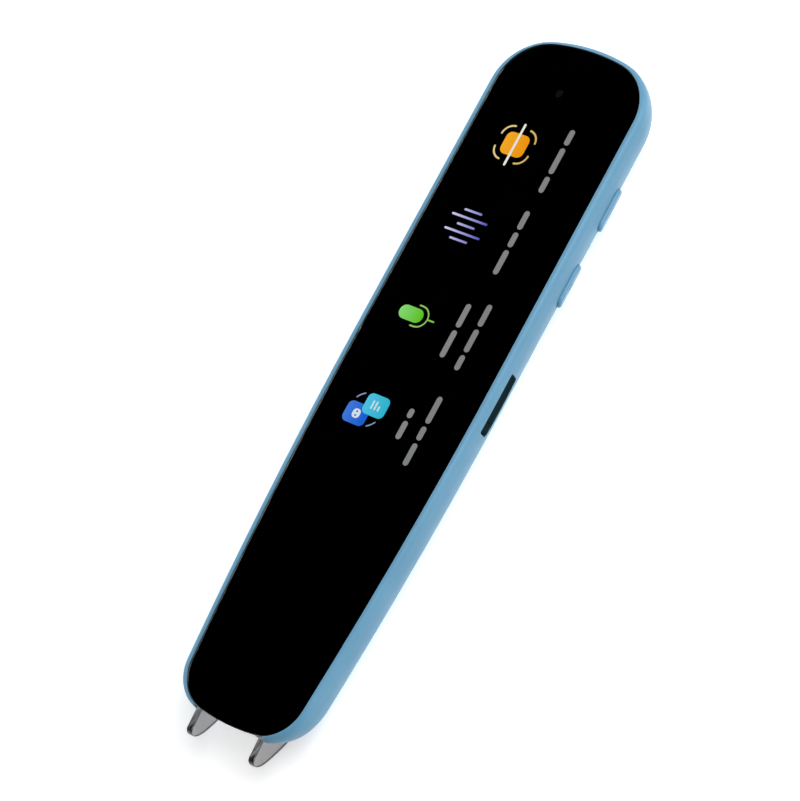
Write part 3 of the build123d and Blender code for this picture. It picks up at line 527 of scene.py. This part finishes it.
# captions: (middle along Y, nearer edge in X, lengths of its bars in reading order)
CAPTION_HIGH, WORD_GAP = 1.3, 0.75
CAPTIONS = (
    (-8.5, 2.8, (4.1, 2.1)), (-8.5, 7.35, (5.0, 3.1, 6.1)),
    (13.1, 2.8, (6.2, 5.4)), (13.1, 7.35, (3.4, 5.2, 5.0)),
    (34.3, 4.6, (5.6, 3.4, 4.3)), (53.6, 4.9, (3.7, 6.0, 3.6)),
)
plates = []
for middle, near, words in CAPTIONS:
    y = middle - (sum(words) + WORD_GAP * (len(words) - 1)) / 2
    for long in words:
        plates.append(rounded(near, near + CAPTION_HIGH, y, y + long, CAPTION_HIGH / 2 - 0.01))
        y += long + WORD_GAP
grey = lit("lit_grey", "#8E8E8E", "#848484", reach=14, middle=4)
inlay("captions", plates, PICTURE_Z + PIXELS, PICTURE_Z + 2 * PIXELS, grey)

# --- Cover glass ---------------------------------------------------------------------------------
# Chemically strengthened glass, ground and polished, with its edge broken at 45 degrees.
# Black ink is printed on its back in one border, open over the display and the light sensor.


def polished_glass():
    """Clear glass; finger marks only change its gloss, by very little."""
    material, tree, shader, place = finish("strengthened_glass", IOR=1.51, Transmission_Weight=1.0)
    shader.inputs["Base Color"].default_value = linear("#F4FAF8")
    touched = add(tree, "TexNoise", {"Vector": place, "Scale": 1 / (9 * MM), "Detail": 6.0})
    marks = {"Value": touched, "From Min": 0.45, "From Max": 0.75, "To Min": 0.0, "To Max": 0.03}
    add(tree, "MapRange", marks, shader.inputs["Roughness"])
    return material


dress(polished_glass(), "cover_glass")
taken, outline = set(), []
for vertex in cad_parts["cover_glass"].data.vertices:
    spot = (round(vertex.co.x / MM, 3), round(vertex.co.y / MM, 3))
    if vertex.co.z / MM < glass_low.z + 0.01 and spot not in taken:
        taken.add(spot)
        outline.append(spot)
outline.sort(key=lambda p: math.atan2(p[1], p[0]))
INK_MARGIN = 0.08
narrower, shorter = 1 - INK_MARGIN / glass_high.x, 1 - INK_MARGIN / glass_high.y
border = [(x * narrower, y * shorter) for x, y in outline]
eye_low, eye_high = in_mm("light_sensor")
EYE_MARGIN, EYE_CORNER = 0.1, 0.89
eye = rounded(eye_low.x - EYE_MARGIN, eye_high.x + EYE_MARGIN,
              eye_low.y - EYE_MARGIN, eye_high.y + EYE_MARGIN, EYE_CORNER)
ink = moulded("black_screen_ink", "#010101", "#020202",
              grit=0.2 * MM, relief=0.001 * MM, gloss=(0.5, 0.6), Specular_IOR_Level=0.0)[0]
inlay("glass_ink", [border, window, eye], BONDED_Z, BONDED_Z + FILM, ink)

# --- Side buttons ----------------------------------------------------------------------------------
# Two capsule keys in the tub's blue resin, moulded apart and a shade glossier, with cut marks.
# Each presses a dome switch in a tin-plated case through a short acetal stem.

key_blue = moulded("gloss_blue_abs", "#68A1C4", "#6CA6C9",
                   grit=0.25 * MM, relief=0.002 * MM, gloss=(0.34, 0.42))
# The keys' edges get a painted highlight in paler blue, and real polish in their gloss.
edge_highlight_and_polish(*key_blue[1:], pale="#93C0DE", width=0.2 * MM)
dress(key_blue[0], "power_button", "home_button")
acetal = moulded("white_acetal", "#DAD9D3", "#E6E5E0",
                 grit=0.2 * MM, relief=0.003 * MM, gloss=(0.3, 0.4), IOR=1.48)[0]
dress(acetal, "power_stem", "home_stem", "tip_stems")
dress(tinned, "power_switch", "home_switch", "left_tip_switch", "right_tip_switch")

# --- Charging port and its cover ---------------------------------------------------------------------
# The socket is a deep-drawn stainless shell round a black tongue with gilt contacts.
# A rubber cover lies flush over it and swings on a steel pin at its tip end.

stainless = plated("drawn_stainless", "#8E9092", "#A6A8AA", gloss=(0.22, 0.38), stroke=0.1 * MM)
dress(stainless, "usb_socket", "cover_pin")
dress(black_nylon, "usb_tongue")
cover_rubber = moulded("slate_rubber", "#1A2C31", "#20343A",
                       grit=0.35 * MM, relief=0.012 * MM, gloss=(0.55, 0.68), IOR=1.5, Specular_IOR_Level=0.0)
# The cover's edges get a painted highlight in paler slate, and real polish in their gloss.
edge_highlight_and_polish(*cover_rubber[1:], pale="#34484E", width=0.15 * MM)
dress(cover_rubber[0], "port_cover")

gilt = plated("hard_gold_flash", "#C79A45", "#DDB35C", gloss=(0.2, 0.3))
tongue_low, tongue_high = in_mm("usb_tongue")
CONTACTS, CONTACT_PITCH, CONTACT_WIDE, CONTACT_THICK = 12, 0.5, 0.26, 0.03
LONG_CONTACTS = (0, 3, 8, 11)  # power and ground meet the plug first
LONG_BACK, SHORT_BACK = 0.5, 0.9  # how far each ends behind the tongue's tip
TONGUE_HALF, TONGUE_ROOT = 0.35, 1.3
middle = (tongue_low + tongue_high) / 2
for name, step in (("contacts_upper", 1), ("contacts_lower", -1)):
    fingers = []
    for i in range(CONTACTS):
        y = middle.y + (i - (CONTACTS - 1) / 2) * CONTACT_PITCH
        root = tongue_low.x + TONGUE_ROOT
        tip = tongue_high.x - (LONG_BACK if i in LONG_CONTACTS else SHORT_BACK)
        fingers.append(rounded(root, tip, y - CONTACT_WIDE / 2, y + CONTACT_WIDE / 2, radius=0.1, steps=4))
    face = middle.z + step * (TONGUE_HALF + 0.004)
    low, high = sorted((face, face + step * CONTACT_THICK))
    inlay(name, fingers, low, high, gilt)

# --- Scanning head ------------------------------------------------------------------------------------
# A matt black baffle keeps stray light off the line camera; an acrylic window closes it.
# Six white LEDs light the paper, and a glass lens in a screwed barrel images it on the sensor.

matt_black = moulded("matt_black_pc", "#0B0B0C", "#111112",
                     grit=0.3 * MM, relief=0.02 * MM, gloss=(0.75, 0.9))[0]
dress(matt_black, "scan_baffle", "lens_holder")


def clear_resin(name, tint, low, high, **levels):
    """Clear or tinted moulding: its colour is set once on the shader, its gloss clouds faintly."""
    material, tree, shader, place = finish(name, **levels)
    shader.inputs["Base Color"].default_value = linear(tint)
    cloud = add(tree, "TexNoise", {"Vector": place, "Scale": 1 / (3 * MM), "Detail": 4.0})
    add(tree, "MapRange", {"Value": cloud, "To Min": low, "To Max": high}, shader.inputs["Roughness"])
    grain = add(tree, "TexNoise", {"Vector": place, "Scale": 1 / (0.3 * MM), "Detail": 2.0})
    add(tree, "Bump", {"Height": grain, "Distance": 0.001 * MM}, shader.inputs["Normal"])
    return material


acrylic = clear_resin("clear_acrylic", "#F5F7F7", low=0.0, high=0.04, IOR=1.49, Transmission_Weight=1.0)
dress(acrylic, "scan_window")


def coated_lens():
    """Optical glass with a thin green-violet coating."""
    material, tree, shader, place = finish("coated_optical_glass", IOR=1.6, Transmission_Weight=1.0)
    shader.inputs["Thin Film Thickness"].default_value = 380
    shader.inputs["Thin Film IOR"].default_value = 1.38
    dust = add(tree, "TexNoise", {"Vector": place, "Scale": 1 / (0.3 * MM), "Detail": 5.0})
    speck = {"Value": dust, "From Min": 0.6, "From Max": 0.8, "To Min": 0.0, "To Max": 0.1}
    add(tree, "MapRange", speck, shader.inputs["Roughness"])
    return material


dress(coated_lens(), "scan_lens")


def led_package():
    """White resin round a yellow phosphor, which shows as soft round spots."""
    material, tree, shader, place = finish("phosphor_led", Roughness=0.4, IOR=1.53)
    spots = add(tree, "TexVoronoi", {"Vector": place, "Scale": 1 / (2.6 * MM)})
    add(tree, "ValToRGB", {"Fac": spots}, shader.inputs["Base Color"], ((0.3, "#D9C23C"), (0.42, "#DEDDD4")))
    add(tree, "Bump", {"Height": spots, "Distance": 0.03 * MM}, shader.inputs["Normal"])
    return material


dress(led_package(), "scan_lights")


def sensor_die():
    """Bare silicon under its cover glass: fine rulings that split light."""
    material, tree, shader, place = finish("silicon_die", Metallic=0.6, Coat_Weight=0.8)
    rulings = add(tree, "TexWave", {"Vector": place, "Scale": WAVE / (0.12 * MM)}, bands_direction="X")
    add(tree, "ValToRGB", {"Fac": rulings}, shader.inputs["Base Color"], ((0.3, "#23243A"), (0.7, "#34505A")))
    add(tree, "MapRange", {"Value": rulings, "To Min": 0.15, "To Max": 0.3}, shader.inputs["Roughness"])
    return material


dress(sensor_die(), "image_sensor")

# --- Scan hood -------------------------------------------------------------------------------------------
# One moulding in smoke-tinted polycarbonate: a bar under the head and two legs that meet the paper.
# Seen against the dark head it is nearly black; where the legs stand clear it is a light grey.

smoke = clear_resin("smoke_polycarbonate", "#A3A2A3", low=0.12, high=0.2, IOR=1.5,
                    Transmission_Weight=1.0)
dress(smoke, "scan_hood")

# --- Setting ------------------------------------------------------------------------------------------------
# A white table, one large soft lamp high on the right and rear, a smaller one at the left and
# one below for the back. The studio is white behind the object; its gloss meets a dome that is
# white near the horizon and dark overhead, so the cover glass stays black.


def white_table():
    """Matt white board; it shows white to the camera, to gloss and through glass, but not from below."""
    material, tree, shader, place = finish("white_table", Roughness=0.8)
    shader.inputs["Base Color"].default_value = linear("#E6E6E6")
    ray = add(tree, "LightPath", {})
    first = {0: ray.outputs["Is Camera Ray"], 1: ray.outputs["Is Glossy Ray"]}
    either = add(tree, "Math", first, operation="MAXIMUM")
    shown = add(tree, "Math", {0: either, 1: ray.outputs["Is Transmission Ray"]}, operation="MAXIMUM")
    away = add(tree, "VectorMath", {0: place}, operation="LENGTH").outputs["Value"]
    level = add(tree, "MapRange", {"Value": away, "From Min": 0.25, "To Min": 0.6, "To Max": 1.0})
    add(tree, "Math", {0: shown, 1: level}, shader.inputs["Emission Strength"], operation="MULTIPLY")
    shader.inputs["Emission Color"].default_value = linear("#FFFFFF")
    under = {0: add(tree, "NewGeometry", {}).outputs["Backfacing"], 1: ray.outputs["Is Shadow Ray"]}
    open_below = add(tree, "Math", under, operation="MAXIMUM")
    parts = {0: open_below, 1: shader, 2: add(tree, "BsdfTransparent", {})}
    add(tree, "MixShader", parts, tree.nodes["Material Output"].inputs["Surface"])
    return material


TABLE_HALF = 1.6
TABLE_Z = -0.0002
table_mesh = bpy.data.meshes.new("table")
edge = [(x * TABLE_HALF, y * TABLE_HALF, TABLE_Z) for x, y in ((-1, -1), (1, -1), (1, 1), (-1, 1))]
table_mesh.from_pydata(edge, [], [(0, 1, 2, 3)])
table = bpy.data.objects.new("table", table_mesh)
table_mesh.materials.append(white_table())
bpy.context.scene.collection.objects.link(table)


def lamp(name, place, size, power, mirrored=True):
    """Square soft lamp that faces the object; flagged off when gloss should not mirror it."""
    light = bpy.data.lights.new(name, "AREA")
    light.size = size
    light.energy = power
    made = bpy.data.objects.new(name, light)
    made.location = place
    made.rotation_euler = (-Vector(place)).to_track_quat("-Z", "Y").to_euler()
    made.visible_glossy = mirrored
    made.visible_transmission = mirrored
    bpy.context.scene.collection.objects.link(made)


lamp("key_lamp", (0.55, 0.4, 0.95), size=0.8, power=11.3)
lamp("side_lamp", (-0.9, -0.1, 0.45), size=0.5, power=3.4, mirrored=False)
lamp("low_lamp", (-0.25, 0.4, -0.85), size=0.5, power=5.6)

studio = bpy.data.worlds.new("studio")
bpy.context.scene.world = studio
studio.use_nodes = True
sky = studio.node_tree
ways = add(sky, "TexCoord", {}).outputs["Generated"]
height = add(sky, "SeparateXYZ", {"Vector": ways}).outputs["Z"]
fade = add(sky, "MapRange", {"Value": height, "From Min": -0.2, "From Max": 1.0})
shades = ((0.0, "#FFFFFF"), (0.27, "#EDEDED"), (0.38, "#6A6A6A"), (0.52, "#000000"))
dome = add(sky, "ValToRGB", {"Fac": fade}, None, shades)
to_camera = add(sky, "LightPath", {}).outputs["Is Camera Ray"]
backdrop = {"Fac": to_camera, "Color1": dome, "Color2": linear("#FFFFFF")}
add(sky, "MixRGB", backdrop, sky.nodes["Background"].inputs["Color"])

camera_data = bpy.data.cameras.new("camera")
camera_data.sensor_fit = "HORIZONTAL"
camera_data.sensor_width = 36
camera_data.lens = 145.53
camera = bpy.data.objects.new("camera", camera_data)
camera.location = (0.3589, -0.1131, 0.5434)
camera.rotation_euler = [math.radians(turn) for turn in (25.491, 25.289, 31.312)]
bpy.context.scene.collection.objects.link(camera)
bpy.context.scene.camera = camera
bpy.context.scene.view_settings.view_transform = "Standard"
